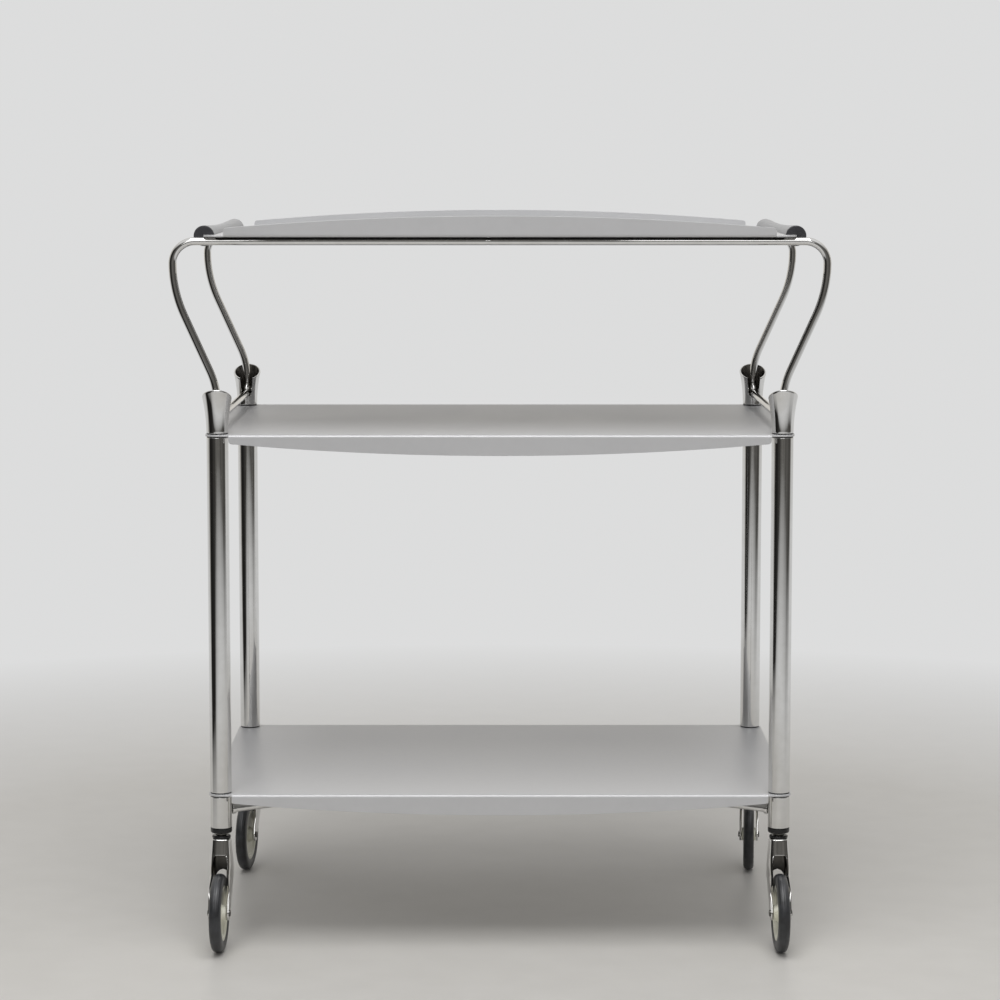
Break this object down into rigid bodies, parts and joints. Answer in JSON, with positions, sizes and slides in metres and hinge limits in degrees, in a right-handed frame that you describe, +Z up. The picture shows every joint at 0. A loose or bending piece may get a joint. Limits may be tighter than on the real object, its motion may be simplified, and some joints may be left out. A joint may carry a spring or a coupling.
{
  "type": "bar cart on wheels",
  "caption": "Bar cart with flanged sheet shelves on tube posts, a bent wire frame that holds a lift-off tray with side grips, and swivel casters.",
  "frame": {"origin": "on the floor, under the middle of the whole cart's box with its casters trailing to the front", "axes": "+X to the cart's right as seen from the front, -Y out of the front, +Z up"},
  "size_m": [0.6644, 0.446, 0.7468],
  "materials": {
    "chrome": "polished chrome plating on steel tube and wire",
    "silver_sheet": "satin silver-grey sheet",
    "zinc_steel": "zinc-plated pins, stems and tie rods",
    "grip_grey": "smooth light grey plastic",
    "cap_charcoal": "charcoal plastic end caps",
    "black_plastic": "black nylon bushes and washers",
    "hub_cream": "cream plastic wheel discs",
    "tyre_rubber": "dark grey rubber"
  },
  "bodies": {
    "frame": {"wire_frame": "chrome", "middle_shelf": "silver_sheet", "bottom_shelf": "silver_sheet", "cross_brace": "chrome", "post_front_left": "chrome", "lower_post_front_left": "chrome", "trumpet_cup_front_left": "chrome", "tie_rod_front_left": "zinc_steel", "socket_bush_front_left": "black_plastic", "brace_ferrule_front_left": "chrome", "caster_stem_front_left": "zinc_steel", "post_front_right": "chrome", "lower_post_front_right": "chrome", "trumpet_cup_front_right": "chrome", "tie_rod_front_right": "zinc_steel", "socket_bush_front_right": "black_plastic", "brace_ferrule_front_right": "chrome", "caster_stem_front_right": "zinc_steel", "post_rear_left": "chrome", "lower_post_rear_left": "chrome", "trumpet_cup_rear_left": "chrome", "tie_rod_rear_left": "zinc_steel", "socket_bush_rear_left": "black_plastic", "brace_ferrule_rear_left": "chrome", "caster_stem_rear_left": "zinc_steel", "post_rear_right": "chrome", "lower_post_rear_right": "chrome", "trumpet_cup_rear_right": "chrome", "tie_rod_rear_right": "zinc_steel", "socket_bush_rear_right": "black_plastic", "brace_ferrule_rear_right": "chrome", "caster_stem_rear_right": "zinc_steel"},
    "tray": {"tray": "silver_sheet", "grip_left": "grip_grey", "grip_right": "grip_grey", "grip_cap_front_left": "cap_charcoal", "grip_cap_front_right": "cap_charcoal", "grip_cap_rear_left": "cap_charcoal", "grip_cap_rear_right": "cap_charcoal"},
    "front_left_caster": {"caster_fork_front_left": "chrome", "swivel_washer_front_left": "black_plastic", "axle_front_left": "zinc_steel"},
    "front_left_wheel": {"wheel_hub_front_left": "hub_cream", "tyre_front_left": "tyre_rubber"},
    "front_right_caster": {"caster_fork_front_right": "chrome", "swivel_washer_front_right": "black_plastic", "axle_front_right": "zinc_steel"},
    "front_right_wheel": {"wheel_hub_front_right": "hub_cream", "tyre_front_right": "tyre_rubber"},
    "rear_left_caster": {"caster_fork_rear_left": "chrome", "swivel_washer_rear_left": "black_plastic", "axle_rear_left": "zinc_steel"},
    "rear_left_wheel": {"wheel_hub_rear_left": "hub_cream", "tyre_rear_left": "tyre_rubber"},
    "rear_right_caster": {"caster_fork_rear_right": "chrome", "swivel_washer_rear_right": "black_plastic", "axle_rear_right": "zinc_steel"},
    "rear_right_wheel": {"wheel_hub_rear_right": "hub_cream", "tyre_rear_right": "tyre_rubber"}
  },
  "joints": [
    {"name": "front_left_swivel", "type": "hinge", "parent": "frame", "child": "front_left_caster", "pos_m": [-0.285, -0.15901, 0.1127], "axis": [0, 0, 1], "continuous": true},
    {"name": "front_left_wheel_spin", "type": "hinge", "parent": "front_left_caster", "child": "front_left_wheel", "pos_m": [-0.28605, -0.18298, 0.04], "axis": [0.999, -0.0436, 0], "continuous": true},
    {"name": "front_right_swivel", "type": "hinge", "parent": "frame", "child": "front_right_caster", "pos_m": [0.285, -0.15901, 0.1127], "axis": [0, 0, 1], "continuous": true},
    {"name": "front_right_wheel_spin", "type": "hinge", "parent": "front_right_caster", "child": "front_right_wheel", "pos_m": [0.28571, -0.18299, 0.04], "axis": [0.9996, 0.0297, 0], "continuous": true},
    {"name": "rear_left_swivel", "type": "hinge", "parent": "frame", "child": "rear_left_caster", "pos_m": [-0.285, 0.20599, 0.1127], "axis": [0, 0, 1], "continuous": true},
    {"name": "rear_left_wheel_spin", "type": "hinge", "parent": "rear_left_caster", "child": "rear_left_wheel", "pos_m": [-0.28792, 0.18217, 0.04], "axis": [0.9925, -0.1219, 0], "continuous": true},
    {"name": "rear_right_swivel", "type": "hinge", "parent": "frame", "child": "rear_right_caster", "pos_m": [0.285, 0.20599, 0.1127], "axis": [0, 0, 1], "continuous": true},
    {"name": "rear_right_wheel_spin", "type": "hinge", "parent": "rear_right_caster", "child": "rear_right_wheel", "pos_m": [0.28299, 0.18208, 0.04], "axis": [0.9965, -0.0837, 0], "continuous": true},
    {"name": "tray_lift", "type": "slide", "parent": "frame", "child": "tray", "axis": [0, 0, 1], "range_m": [0, 0.08]}
  ]
}
